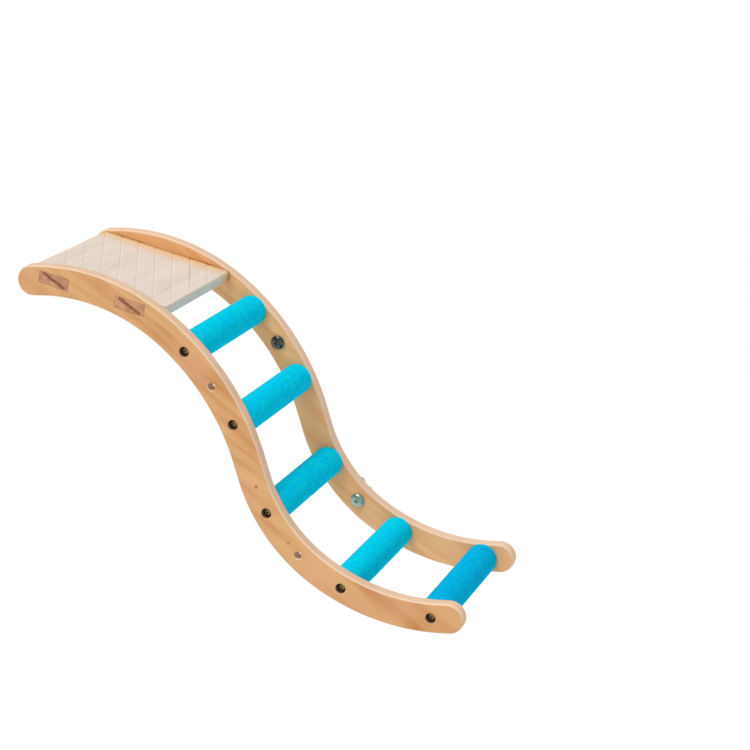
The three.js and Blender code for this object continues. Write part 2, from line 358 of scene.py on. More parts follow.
@dataclass(frozen=True)
class WoodFinish:
    """Sawn and sanded softwood: growth rings, fibre, tint patches, paler eased edges with a painted highlight on the
    upper ones, browner end grain, painted shade in the screw sinks and bands of painted light and shade.
    """

    name: str
    early: tuple = paint(232, 184, 124)
    late: tuple = paint(205, 138, 74)
    blush: tuple = paint(236, 180, 140)
    pale: tuple = paint(240, 218, 196)
    end_grain: tuple = paint(200, 134, 84)
    end_dark: tuple = paint(158, 94, 50)
    grain_turn: tuple[float, float, float] = (0, 0, 0)
    pith: tuple[float, float] = (0.046, 0.012)
    ring: float = 0.0046
    ring_strength: float = 0.55
    shift: tuple[float, float, float] = (0, 0, 0)
    edge_share: float = 0.8
    low_edge_share: float = 0.45
    end_share: float = 0.0
    roughness: float = 0.55
    knots: tuple[tuple[float, float, float, float], ...] = ()
    # Bands of painted light and painted shade laid over the wood.
    painted_light_bands: tuple[PaintedLightBand, ...] = ()
    # Points inside the screw sinks where painted shade darkens the wood.
    shaded_sinks: tuple[tuple[float, float, float], ...] = ()
    sink_shade_radius: float = 4.3 * MM

    def make(self) -> bpy.types.Material:
        """Draws the wood.

        Returns:
            The material.
        """
        sheet = NodeSheet(self.name)
        along = sheet.place((1, 1, 1), self.grain_turn, self.shift)
        rings = self._rings(sheet, along)
        streaks = self._streaks(sheet, along)
        fibre = self._fibre(sheet, along)
        dark = rings * self.ring_strength + streaks * 0.55 + (fibre - 0.5) * 0.35
        colour = sheet.mix(sheet.ramp(dark, [(0.0, 0.0), (1.0, 1.0)]), self.early, self.late)
        patches = sheet.noise(along, 26.0, 2.0)
        blushed = sheet.ramp(patches, [(0.45, 0.0), (0.72, 0.75)])
        colour = sheet.mix(blushed, colour, self.blush)
        colour = self._add_edges(sheet, colour, fibre)
        colour = self._add_ends(sheet, colour, fibre)
        # Lays the bands of painted light and painted shade.
        for band in self.painted_light_bands:
            colour = band.lay(sheet, colour)
        colour = self._add_knots(sheet, colour)
        height = fibre * 0.6 + rings * 0.4
        return sheet.surface(
            Base_Color=colour,
            Roughness=self.roughness + (fibre - 0.5) * 0.18,
            Normal=sheet.bump(height, 0.00009, 0.6),
            Specular_IOR_Level=0.35,
        )

    def _rings(self, sheet: NodeSheet, along: Wire) -> Wire:
        """Growth rings round a pith that lies beside the board, wavy along it."""
        _, depth, width = sheet.split(along)
        stretched = sheet.node(
            "ShaderNodeMapping", {"vector_type": "POINT"}, {"Vector": along, "Scale": (0.22, 1, 1)}
        )
        wave = sheet.noise(stretched, 34.0, 2.0)
        out = depth + self.pith[0]
        over = width + self.pith[1]
        radius = (out * out + over * over) ** 0.5 + (wave - 0.5) * 0.016
        share = sheet.node("ShaderNodeMath", {"operation": "FRACT"}, {0: radius / self.ring})
        return sheet.ramp(share, [(0.0, 0.05), (0.4, 0.2), (0.76, 0.85), (0.9, 0.7), (1.0, 0.05)])

    def _streaks(self, sheet: NodeSheet, along: Wire) -> Wire:
        """Broad soft orange streaks that run with the grain."""
        stretched = sheet.node(
            "ShaderNodeMapping", {"vector_type": "POINT"}, {"Vector": along, "Scale": (0.16, 1, 1)}
        )
        broad = sheet.noise(stretched, 95.0, 2.0)
        return sheet.ramp(broad, [(0.42, 0.0), (0.7, 1.0)])

    def _fibre(self, sheet: NodeSheet, along: Wire) -> Wire:
        """Fine fibres along the grain."""
        stretched = sheet.node(
            "ShaderNodeMapping", {"vector_type": "POINT"}, {"Vector": along, "Scale": (0.03, 1, 1)}
        )
        return sheet.noise(stretched, 1500.0, 3.0, 0.6)

    def _add_edges(self, sheet: NodeSheet, colour: Wire, fibre: Wire) -> Wire:
        """Pales the sanded, eased edges and the sawn rims, where a face turns away from the flat: partly the paler
        sanded wood, partly a painted highlight.

        The upper rims get the most, a painted highlight where light from above falls on them; the lower ones keep
        more of the wood's own colour.
        """
        normal = sheet.node("ShaderNodeTexCoord", output="Normal")
        _, facing, rising = sheet.split(normal)
        rim = sheet.ramp(abs(facing), [(0.0, 0.7), (0.35, 1.0), (0.8, 0.9), (0.97, 0.0)])
        # Painted highlight: rims that face upwards are paled more, as light from above falls on them.
        upper = sheet.ramp(rising * 0.5 + 0.5, [(0.42, self.low_edge_share), (0.6, 1.0)])
        return sheet.mix(rim * upper * (fibre * 0.5 + 0.6) * self.edge_share, colour, self.pale)

    def _add_ends(self, sheet: NodeSheet, colour: Wire, fibre: Wire) -> Wire:
        """Darkens the end grain, on faces square to the fibres, which run across the ladder."""
        if not self.end_share:
            return colour
        normal = sheet.node("ShaderNodeTexCoord", output="Normal")
        _, facing, _ = sheet.split(normal)
        cut = sheet.ramp(abs(facing), [(0.8, 0.0), (0.95, 1.0)])
        point = sheet.node("ShaderNodeTexCoord", output="Object")
        blotch = sheet.ramp(sheet.noise(point, 260.0, 2.0), [(0.4, 0.0), (0.65, 0.8)])
        end_colour = sheet.mix(blotch, self.end_grain, self.end_dark)
        return sheet.mix(cut * (fibre * 0.3 + 0.7) * self.end_share, colour, end_colour)

    def _add_knots(self, sheet: NodeSheet, colour: Wire) -> Wire:
        """Small dark pin knots, each an x, y, z and radius in metres, and painted shade inside the screw sinks."""
        point = sheet.node("ShaderNodeTexCoord", output="Object")
        for hollow in self.shaded_sinks:
            apart = sheet.node(
                "ShaderNodeVectorMath", {"operation": "DISTANCE"}, {0: point, 1: hollow}, "Value"
            )
            # Painted shade inside each screw sink.
            sink_shade = sheet.ramp(apart / self.sink_shade_radius, [(0.85, 0.85), (1.0, 0.0)])
            colour = sheet.mix(sink_shade, colour, paint(92, 56, 28))
        for x, y, z, radius in self.knots:
            apart = sheet.node(
                "ShaderNodeVectorMath", {"operation": "DISTANCE"}, {0: point, 1: (x, y, z)}, "Value"
            )
            spot = sheet.ramp(apart / radius, [(0.2, 0.85), (0.55, 0.35), (1.0, 0.0)])
            colour = sheet.mix(spot, colour, paint(122, 74, 40))
        return colour


@dataclass(frozen=True)
class GritFinish:
    """Cyan mineral grit set in paint: mottled, matte, with deeper blue patches and a few pale specks painted as
    glints.
    """

    name: str
    body: tuple = paint(0, 200, 238)
    green: tuple = paint(0, 212, 228)
    deep: tuple = paint(0, 180, 232)
    glint: tuple = paint(30, 224, 248)
    roughness: float = 0.92

    def make(self) -> bpy.types.Material:
        """Draws the grit.

        Returns:
            The material.
        """
        sheet = NodeSheet(self.name)
        point = sheet.node("ShaderNodeTexCoord", output="Object")
        clouds = sheet.ramp(sheet.noise(point, 130.0, 3.0), [(0.36, 0.0), (0.64, 1.0)])
        patches = sheet.ramp(sheet.noise(point, 300.0, 3.0, 0.6), [(0.4, 0.0), (0.66, 1.0)])
        grains = sheet.node("ShaderNodeTexVoronoi", None, {"Vector": point, "Scale": 2300.0})
        sparse = sheet.noise(point, 1300.0, 2.0)
        colour = sheet.mix(clouds * 0.75, self.green, self.body)
        colour = sheet.mix(patches * 0.7, colour, self.deep)
        # Painted glints: sparse pale specks on the grit.
        glint_specks = sheet.ramp(sparse, [(0.62, 0.0), (0.7, 0.55)])
        colour = sheet.mix(glint_specks, colour, self.glint)
        height = (1 - grains) * 0.7 + sparse * 0.6
        return sheet.surface(
            Base_Color=colour,
            Roughness=self.roughness,
            Normal=sheet.bump(height, 0.00028, 0.75),
            Specular_IOR_Level=0.02,
        )


@dataclass(frozen=True)
class MetalFinish:
    """Bright plated metal: turning marks, a little haze and darker grime in random smudges."""

    name: str
    colour: tuple = paint(226, 229, 233)
    grime: tuple = paint(140, 134, 126)
    roughness: float = 0.16
    haze: float = 0.12

    def make(self) -> bpy.types.Material:
        """Draws the metal.

        Returns:
            The material.
        """
        sheet = NodeSheet(self.name)
        point = sheet.node("ShaderNodeTexCoord", output="Object")
        smudge = sheet.ramp(sheet.noise(point, 420.0, 3.0), [(0.4, 0.0), (0.75, 1.0)])
        lines = sheet.node(
            "ShaderNodeMapping", {"vector_type": "POINT"}, {"Vector": point, "Scale": (1, 9, 1)}
        )
        marks = sheet.noise(lines, 2600.0, 2.0)
        colour = sheet.mix(smudge * 0.25, self.colour, self.grime)
        return sheet.surface(
            Base_Color=colour,
            Metallic=1.0,
            Roughness=self.roughness + smudge * self.haze,
            Normal=sheet.bump(marks, 0.00002, 0.25),
        )


@dataclass(frozen=True)
class FloorFinish:
    """A plain near-white studio floor."""

    name: str
    colour: tuple = (0.93, 0.93, 0.93, 1)

    def make(self) -> bpy.types.Material:
        """Draws the floor.

        Returns:
            The material.
        """
        return NodeSheet(self.name).surface(Base_Color=self.colour, Roughness=0.9)


# ---------------------------------------------------------------- mesh work


def tidy(bm: bmesh.types.BMesh, sharp: float = 32.0) -> None:
    """Merges doubles, turns the faces outwards and shades smooth except across sharp edges.

    Args:
        bm: The mesh being shaped.
        sharp: Edges that fold more than this many degrees stay crisp.
    """
    bmesh.ops.remove_doubles(bm, verts=bm.verts, dist=2e-6)
    bmesh.ops.recalc_face_normals(bm, faces=bm.faces)
    crisp_edges(bm, sharp)


def crisp_edges(bm: bmesh.types.BMesh, sharp: float) -> None:
    """Shades smooth except across edges that fold more than a number of degrees."""
    limit = math.radians(sharp)
    for face in bm.faces:
        face.smooth = True
    for edge in bm.edges:
        edge.smooth = edge.is_manifold and edge.calc_face_angle(0.0) < limit


def stand(bm: bmesh.types.BMesh, name: str) -> bpy.types.Object:
    """Turns a bmesh into an object at the origin.

    Args:
        bm: The finished mesh, which is freed.
        name: The object's name.

    Returns:
        The new object, linked to the scene.
    """
    mesh = bpy.data.meshes.new(name)
    bm.to_mesh(mesh)
    bm.free()
    made = bpy.data.objects.new(name, mesh)
    bpy.context.scene.collection.objects.link(made)
    return made


def settle(target: bpy.types.Object) -> None:
    """Applies every modifier on an object to its mesh."""
    bpy.context.view_layer.update()
    graph = bpy.context.evaluated_depsgraph_get()
    before = target.data
    target.data = bpy.data.meshes.new_from_object(target.evaluated_get(graph))
    target.modifiers.clear()
    bpy.data.meshes.remove(before)


def joint_up(
    target: bpy.types.Object, tool: bpy.types.Object, how: Joinery, crossing: bool = False
) -> None:
    """Cuts a tool solid out of a target, or joins it on, and removes the tool.

    Args:
        target: The object whose mesh changes.
        tool: A closed solid.
        how: Whether it cuts or joins.
        crossing: Whether parts of the tool pass through each other.
    """
    change = target.modifiers.new(how.name.lower(), "BOOLEAN")
    change.operation = how.value
    change.solver = "EXACT"
    change.use_self = crossing
    change.object = tool
    settle(target)
    mesh = tool.data
    bpy.data.objects.remove(tool)
    bpy.data.meshes.remove(mesh)


def polish(target: bpy.types.Object, sharp: float = 32.0) -> None:
    """Reshades a carved mesh, and weights its normals by area so that flats stay flat.

    Args:
        target: The carved object.
        sharp: Edges that fold more than this many degrees stay crisp.
    """
    bm = bmesh.new()
    bm.from_mesh(target.data)
    bmesh.ops.remove_doubles(bm, verts=bm.verts, dist=1e-6)
    bmesh.ops.dissolve_degenerate(bm, edges=bm.edges, dist=1e-6)
    crisp_edges(bm, sharp)
    bm.to_mesh(target.data)
    bm.free()
    weighted = target.modifiers.new("flat_faces", "WEIGHTED_NORMAL")
    weighted.keep_sharp = True
    weighted.weight = 80


def turned(profile: list[tuple[float, float]], steps: int) -> bmesh.types.BMesh:
    """A solid or ring turned about +Y.

    Args:
        profile: (radius, height) points; a first point met again at the end closes a ring.
        steps: Facets round the full turn.

    Returns:
        The turned mesh.
    """
    bm = bmesh.new()
    closed = profile[0] == profile[-1]
    points = profile[:-1] if closed else profile
    verts = [bm.verts.new((radius, height, 0)) for radius, height in points]
    pairs = list(zip(verts, verts[1:] + verts[:1] if closed else verts[1:]))
    edges = [bm.edges.new(pair) for pair in pairs]
    bmesh.ops.spin(
        bm, geom=verts + edges, cent=(0, 0, 0), axis=ACROSS, angle=TURN, steps=steps, use_merge=True
    )
    tidy(bm)
    return bm


def block(size: tuple[float, float, float], place: Matrix) -> bmesh.types.BMesh:
    """A plain block that other tools round, taper or cut with.

    Args:
        size: Full length along each axis.
        place: Where its middle goes.

    Returns:
        The block's mesh.
    """
    bm = bmesh.new()
    bmesh.ops.create_cube(bm, size=1, matrix=place @ Matrix.Diagonal((*size, 1)))
    return bm


def gather(parts: list[bmesh.types.BMesh]) -> bmesh.types.BMesh:
    """Puts several meshes into one, and frees them.

    Args:
        parts: Meshes that don't touch each other.

    Returns:
        One mesh that holds them all.
    """
    whole = bmesh.new()
    for part in parts:
        carrier = bpy.data.meshes.new("carrier")
        part.to_mesh(carrier)
        part.free()
        whole.from_mesh(carrier)
        bpy.data.meshes.remove(carrier)
    return whole


def cross_recess(span: float, width: float, depth: float, top: float) -> list[bmesh.types.BMesh]:
    """The two tapered arms that cut a cross recess down into a head.

    Args:
        span: Length of an arm.
        width: Width of an arm.
        depth: How deep the recess goes.
        top: Height of the head's top.

    Returns:
        Two arm meshes, pointing along +Y.
    """
    arms = []
    overshoot = 1.0 * MM
    taper = 0.62
    for quarter in (0.0, TURN / 4):
        reach = depth + overshoot
        place = Matrix.Rotation(quarter, 4, "Y") @ Matrix.Translation((0, top + overshoot - reach / 2, 0))
        arm = block((span, reach, width), place)
        floor_verts = [v for v in arm.verts if v.co.y < top]
        bmesh.ops.scale(arm, verts=floor_verts, vec=(taper, 1, taper))
        arms.append(arm)
    return arms


def screw_thread(radius: float, depth: float, pitch: float, low: float, high: float) -> bmesh.types.BMesh:
    """A V-shaped ridge wound round +Y as a helix.

    Args:
        radius: Radius of the ridge's crest.
        depth: How far the ridge stands out of its shank, and a little more to root it there.
        pitch: Rise in one turn.
        low: Height where it starts.
        high: Height where it ends.

    Returns:
        The ridge as one closed solid.
    """
    steps_in_turn = 20
    turns = max(1, int((high - low) / pitch) - 1)
    bm = bmesh.new()
    half = pitch * 0.44
    root = radius - depth
    corners = [(root, low), (radius, low + half), (root, low + 2 * half)]
    verts = [bm.verts.new((x, y, 0)) for x, y in corners]
    start = bm.faces.new(verts)
    bmesh.ops.spin(
        bm,
        geom=[start, *start.edges, *start.verts],
        cent=(0, 0, 0),
        axis=ACROSS,
        dvec=(0, pitch / steps_in_turn, 0),
        angle=TURN * turns,
        steps=steps_in_turn * turns,
    )
    tidy(bm)
    return bm


def fit_out(
    piece: bpy.types.Object,
    material: bpy.types.Material,
    slot: str,
    body: str,
    *nodes: str,
) -> bpy.types.Object:
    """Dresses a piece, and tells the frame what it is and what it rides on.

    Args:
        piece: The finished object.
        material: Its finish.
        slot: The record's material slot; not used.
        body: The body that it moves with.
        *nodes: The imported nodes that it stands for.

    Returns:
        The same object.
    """
    piece.data.materials.clear()
    piece.data.materials.append(material)
    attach(piece, body)
    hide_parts(*nodes)
    log.info("%s: %d faces", piece.name, len(piece.data.polygons))
    return piece


def middle_of(node: str) -> Vector:
    """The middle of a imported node's box."""
    low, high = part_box(node)
    return (low + high) / 2


# ---------------------------------------------------------------- the rails' curve


@dataclass(frozen=True)
class Stretch:
    """One straight run or arc of the rails' centreline; a positive turn, in degrees, bends upwards."""

    length: float = 0.0
    radius: float = 0.0
    turn: float = 0.0

    @property
    def run(self) -> float:
        """Its length along the centreline."""
        return self.length or self.radius * math.radians(abs(self.turn))


@dataclass(frozen=True)
class Laid:
    """A stretch set in its place: where it starts, and its heading there above +X, in radians."""

    stretch: Stretch
    start: Vector
    heading: float

    def direction(self) -> Vector:
        """The unit vector along the start heading."""
        return Vector((math.cos(self.heading), 0, math.sin(self.heading)))

    def upward(self) -> Vector:
        """The unit vector square to the heading, on its upper side."""
        return Vector((-math.sin(self.heading), 0, math.cos(self.heading)))

    def hub(self) -> Vector:
        """The middle of an arc's circle."""
        return self.start + self.upward() * math.copysign(self.stretch.radius, self.stretch.turn)

    def end(self) -> tuple[Vector, float]:
        """Where the stretch ends, and its heading there."""
        if not self.stretch.turn:
            return self.start + self.direction() * self.stretch.length, self.heading
        turn = math.radians(self.stretch.turn)
        hub = self.hub()
        return hub + Matrix.Rotation(-turn, 3, "Y") @ (self.start - hub), self.heading + turn


@dataclass(frozen=True)
class RailCurve:
    """The S-shaped centreline, from the platform tip to the foot."""

    tip_heading: float = 4.0
    stretches: tuple[Stretch, ...] = (
        Stretch(length=6.2 * MM),
        Stretch(radius=122.4 * MM, turn=-41.4),
        Stretch(radius=147.8 * MM, turn=-36.2),
        Stretch(length=10.8 * MM),
        Stretch(radius=99.4 * MM, turn=42.0),
        Stretch(radius=124.3 * MM, turn=37.0),
        Stretch(length=5.1 * MM),
    )
    middle_stretch: int = 3

    def lay(self) -> list[Laid]:
        """Sets the stretches end to end, with the origin halfway along the middle one.

        Returns:
            The stretches in their places.
        """
        first = self._walk(Vector())
        middle = first[self.middle_stretch]
        return self._walk(-(middle.start + middle.end()[0]) / 2)

    def heading_at(self, point: Vector) -> float:
        """The curve's heading where it passes a point.

        Args:
            point: A place on one of the arcs, seen along the ladder's width.

        Returns:
            The heading above +X, in radians.
        """
        flat = Vector((point.x, 0, point.z))
        arcs = [part for part in self.lay() if part.stretch.turn]
        arc = min(arcs, key=lambda part: abs((flat - part.hub()).length - part.stretch.radius))
        spoke = flat - arc.hub()
        bend = math.copysign(1, arc.stretch.turn)
        return math.atan2(bend * spoke.x, -bend * spoke.z)

    def _walk(self, start: Vector) -> list[Laid]:
        """Sets the stretches end to end from a start point."""
        laid = []
        heading = math.radians(self.tip_heading)
        for stretch in self.stretches:
            laid.append(Laid(stretch, start, heading))
            start, heading = laid[-1].end()
        return laid


# ---------------------------------------------------------------- sub-assemblies


@dataclass
class SideRail:
    """One S-shaped rail: an even strip with half-round ends, eased edges, sunk holes and two mortises."""

    side: Side
    finish: WoodFinish
    curve: RailCurve = field(default_factory=RailCurve)
    width: float = 19.0 * MM
    edge_round: float = 1.4 * MM
    edge_steps: int = 4
    face_length: float = 1.6 * MM
    sink_radius: float = 3.2 * MM
    sink_depth: float = 4.6 * MM
    pilot_radius: float = 1.9 * MM
    clamp_hole_radius: float = 2.5 * MM
    rim: float = 0.25 * MM
    mortise: tuple[float, float] = (20.3 * MM, 7.7 * MM)
    rungs: int = 5

    def build(self) -> bpy.types.Object:
        """Makes the rail.

        Returns:
            The rail's object.
        """
        node = f"{self.side.title}_rail"
        low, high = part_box(node)
        self.outer = high.y if self.side is Side.REAR else low.y
        self.thickness = high.y - low.y
        rail = stand(self._strip(), f"{node}_wood")
        joint_up(rail, stand(self._holes(), "hole_tools"), Joinery.CUT)
        joint_up(rail, stand(self._mortises(), "mortise_tools"), Joinery.CUT)
        polish(rail)
        return fit_out(rail, self.finish.make(), "pine", "ladder", node)

    def _strip(self) -> bmesh.types.BMesh:
        """The rail before any hole is cut."""
        bm = bmesh.new()
        laid = self.curve.lay()
        half = laid[0].upward() * (self.width / 2)
        start = laid[0].start + ACROSS * self.outer
        verts = [bm.verts.new(start + half * share) for share in (-1, 0, 1)]
        edges = [bm.edges.new(pair) for pair in zip(verts, verts[1:])]
        front = verts + edges
        self._round_end(bm, [verts[1], verts[2], edges[1]], start)
        for part in laid:
            front = self._sweep(bm, front, part)
        end = laid[-1].end()[0] + ACROSS * self.outer
        self._round_end(bm, self._lower_half(front, end, laid[-1].upward()), end)
        bmesh.ops.remove_doubles(bm, verts=bm.verts, dist=2e-6)
        grown = bmesh.ops.extrude_face_region(bm, geom=list(bm.faces))["geom"]
        inward = -self.side.value * self.thickness
        moved = [item for item in grown if isinstance(item, bmesh.types.BMVert)]
        bmesh.ops.translate(bm, verts=moved, vec=(0, inward, 0))
        bmesh.ops.recalc_face_normals(bm, faces=bm.faces)
        right_angle = math.radians(80)
        rims = [edge for edge in bm.edges if edge.calc_face_angle(0.0) > right_angle]
        bmesh.ops.bevel(
            bm,
            geom=rims,
            offset=self.edge_round,
            offset_type="OFFSET",
            segments=self.edge_steps,
            profile=0.5,
            affect="EDGES",
            material=-1,
        )
        tidy(bm)
        return bm

    def _sweep(self, bm: bmesh.types.BMesh, front: list, part: Laid) -> list:
        """Carries the cross edge along one stretch.

        Args:
            bm: The mesh being shaped.
            front: The cross edge's vertices and edges.
            part: The stretch to follow.

        Returns:
            The cross edge at the stretch's end.
        """
        steps = max(2, round(part.stretch.run / self.face_length))
        if part.stretch.turn:
            return bmesh.ops.spin(
                bm,
                geom=front,
                cent=part.hub(),
                axis=ACROSS,
                angle=-math.radians(part.stretch.turn),
                steps=steps,
            )["geom_last"]
        return bmesh.ops.spin(
            bm,
            geom=front,
            cent=part.start,
            axis=ACROSS,
            dvec=part.direction() * (part.stretch.length / steps),
            angle=0,
            steps=steps,
        )["geom_last"]

    def _round_end(self, bm: bmesh.types.BMesh, spoke: list, centre: Vector) -> None:
        """Swings half of the cross edge about an end's centre, to a half-round end."""
        bmesh.ops.spin(
            bm, geom=spoke, cent=centre, axis=ACROSS, angle=-TURN / 2, steps=26, use_duplicate=False
        )

    def _lower_half(self, front: list, centre: Vector, upward: Vector) -> list:
        """The part of the cross edge that lies below the centreline."""
        verts = [v for v in front if isinstance(v, bmesh.types.BMVert)]
        below = [v for v in verts if (v.co - centre).dot(upward) < self.edge_round]
        edges = [e for e in front if isinstance(e, bmesh.types.BMEdge) and set(e.verts) <= set(below)]
        return below + edges

    def _holes(self) -> bmesh.types.BMesh:
        """Cutters for the sunk rung screws and the two clamp bolts, with their rims a little flared."""
        tools = []
        over = 1.0 * MM
        sunk = [
            (0, -self.thickness - over),
            (self.pilot_radius, -self.thickness - over),
            (self.pilot_radius, -self.sink_depth),
            (self.sink_radius, -self.sink_depth),
            (self.sink_radius, -self.rim),
            (self.sink_radius + self.rim, 0),
            (self.sink_radius + self.rim, over),
            (0, over),
        ]
        radius = self.clamp_hole_radius
        through = [
            (0, -self.thickness - over),
            (radius + self.rim, -self.thickness - over),
            (radius + self.rim, -self.thickness),
            (radius, -self.thickness + self.rim),
            (radius, -self.rim),
            (radius + self.rim, 0),
            (radius + self.rim, over),
            (0, over),
        ]
        for number in range(1, self.rungs + 1):
            tools.append(self._bore(sunk, middle_of(f"{self.side.title}_rung_screw_{number}")))
        for row in ("upper", "lower"):
            tools.append(self._bore(through, middle_of(f"{row}_clamp_bolt")))
        return gather(tools)

    def _bore(self, profile: list[tuple[float, float]], centre: Vector) -> bmesh.types.BMesh:
        """A turned cutter set into the rail's outer face at a centre."""
        tool = turned(profile, 40)
        if self.side is Side.FRONT:
            bmesh.ops.rotate(tool, verts=tool.verts, cent=(0, 0, 0), matrix=Matrix.Rotation(TURN / 2, 3, "X"))
        bmesh.ops.translate(tool, verts=tool.verts, vec=(centre.x, self.outer, centre.z))
        return tool

    def _mortises(self) -> bmesh.types.BMesh:
        """Cutters for the two slots that take the platform's tenons."""
        seat = PlatformSeat.from_frame()
        tools = []
        for x in (0.0, seat.spacing):
            place = seat.place @ Matrix.Translation((x, 0, 0))
            place = Matrix.Translation((0, self.outer - seat.place.translation.y, 0)) @ place
            tools.append(block((self.mortise[0], 3 * self.thickness, self.mortise[1]), place))
        return gather(tools)


@dataclass(frozen=True)
class PlatformSeat:
    """Where the platform lies: its own frame has x down its slope from the upper tenon and z out of its top."""

    place: Matrix
    spacing: float
    width: float

    @classmethod
    def from_frame(cls) -> "PlatformSeat":
        """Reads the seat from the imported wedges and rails.

        Returns:
            The seat.
        """
        upper = middle_of("rear_upper_tenon_wedge")
        lower = middle_of("rear_lower_tenon_wedge")
        front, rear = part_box("front_rail")[0].y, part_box("rear_rail")[1].y
        slope = math.atan2(lower.z - upper.z, lower.x - upper.x)
        centre = Vector((upper.x, (front + rear) / 2, upper.z))
        place = Matrix.Translation(centre) @ Matrix.Rotation(-slope, 4, "Y")
        return cls(place, Vector((lower.x - upper.x, 0, lower.z - upper.z)).length, rear - front)


@dataclass
class Platform:
    """The pale board with its through tenons, eased edges and scored grooves."""

    finish: WoodFinish
    wedge_finish: WoodFinish
    thickness: float = 7.4 * MM
    tip_overhang: float = 18.3 * MM
    foot_overhang: float = 19.9 * MM
    edge_round: float = 1.2 * MM
    rail_gap: float = 8.15 * MM
    tenon_length: float = 20 * MM
    groove_angle: float = 25.5
    groove_pitch: float = 12.3 * MM
    groove_radius: float = 1.1 * MM
    groove_depth: float = 0.3 * MM
    grooves: int = 9
    middle_from_foot: float = 43.1 * MM
    stop_from_foot: float = 14 * MM
    wedge_depth: float = 7 * MM
    wedge_outer: float = 2.0 * MM
    wedge_inner: float = 0.9 * MM
    corner_clearance: float = 2.2 * MM

    def build(self) -> bpy.types.Object:
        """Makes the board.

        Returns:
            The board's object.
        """
        self.seat = PlatformSeat.from_frame()
        board = stand(self._board(), "platform_board_wood")
        joint_up(board, stand(self._tenons(), "tenon_tools"), Joinery.JOIN)
        joint_up(board, stand(self._kerf_tools(), "kerf_tools"), Joinery.CUT)
        for rod in self._groove_tools():
            joint_up(board, stand(rod, "groove_tool"), Joinery.CUT)
        board.data.transform(self.seat.place)
        polish(board)
        return fit_out(board, self.finish.make(), "pale_board", "ladder", "platform_board")

    def dress_wedges(self, nodes: dict[str, bpy.types.Object]) -> None:
        """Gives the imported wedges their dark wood."""
        material = self.wedge_finish.make()
        for name in (n for n in nodes if n.endswith("tenon_wedge")):
            nodes[name].data.materials.clear()
            nodes[name].data.materials.append(material)
            log.info("%s: dressed", name)

    def _length(self) -> float:
        """The board's length down its slope."""
        return self.tip_overhang + self.seat.spacing + self.foot_overhang

    def _middle(self) -> float:
        """The board's middle, from the upper tenon."""
        return self._length() / 2 - self.tip_overhang

    def _board(self) -> bmesh.types.BMesh:
        """The board with its cross edges rounded; its rail edges are left square."""
        width = self.seat.width - 2 * self.rail_gap
        size = (self._length(), width, self.thickness)
        bm = block(size, Matrix.Translation((self._middle(), 0, 0)))
        long_edges = [e for e in bm.edges if abs((e.verts[1].co - e.verts[0].co).y) > width / 2]
        bmesh.ops.bevel(
            bm, geom=long_edges, offset=self.edge_round, segments=5, profile=0.5,
            affect="EDGES", material=-1,
        )
        tidy(bm)
        return bm

    def _tenons(self) -> bmesh.types.BMesh:
        """Two bars that run right across and end flush with the rails."""
        reach = self.seat.width
        return gather([
            block((self.tenon_length, reach, self.thickness - 0.02 * MM), Matrix.Translation((x, 0, 0)))
            for x in (0.0, self.seat.spacing)
        ])

    def _groove_tools(self) -> list[bmesh.types.BMesh]:
        """Round-bottomed cutters for the slanting grooves and the stop groove."""
        height = self.thickness / 2 + self.groove_radius - self.groove_depth
        width = self.seat.width
        tools = []
        foot = self._middle() + self._length() / 2
        for number in range(self.grooves):
            x = foot - self.middle_from_foot + (number - (self.grooves - 1) / 2) * self.groove_pitch
            tools.append((x, math.radians(self.groove_angle)))
        tools.append((foot - self.stop_from_foot, 0.0))
        rods = []
        for x, angle in tools:
            rod = bmesh.new()
            place = Matrix.Translation((x, 0, height)) @ Matrix.Rotation(angle, 4, "Z")
            bmesh.ops.create_cone(
                rod, cap_ends=True, segments=24, radius1=self.groove_radius, radius2=self.groove_radius,
                depth=width, matrix=place @ Matrix.Rotation(TURN / 4, 4, "X"),
            )
            rods.append(rod)
        return rods

    def _kerf_tools(self) -> bmesh.types.BMesh:
        """Tapered cutters for the kerf in each tenon's end."""
        tools = []
        diagonal = math.hypot(self.tenon_length, self.thickness) - 2 * self.corner_clearance
        tilt = math.atan2(self.thickness, self.tenon_length)
        over = 0.5 * MM
        for x in (0.0, self.seat.spacing):
            for side in Side:
                tool = block((diagonal, self.wedge_depth + over, self.wedge_outer), Matrix())
                inner = [v for v in tool.verts if v.co.y < 0]
                bmesh.ops.scale(tool, verts=inner, vec=(1, 1, self.wedge_inner / self.wedge_outer))
                lean = Matrix.Rotation(-tilt, 4, "Y")
                turn = Matrix() if side is Side.REAR else Matrix.Rotation(TURN / 2, 4, "Z")
                depth = self.seat.width / 2 - (self.wedge_depth - over) / 2
                place = Matrix.Translation((x, 0, 0)) @ turn @ Matrix.Translation((0, depth, 0)) @ lean
                bmesh.ops.transform(tool, matrix=place, verts=tool.verts)
                tools.append(tool)
        return gather(tools)


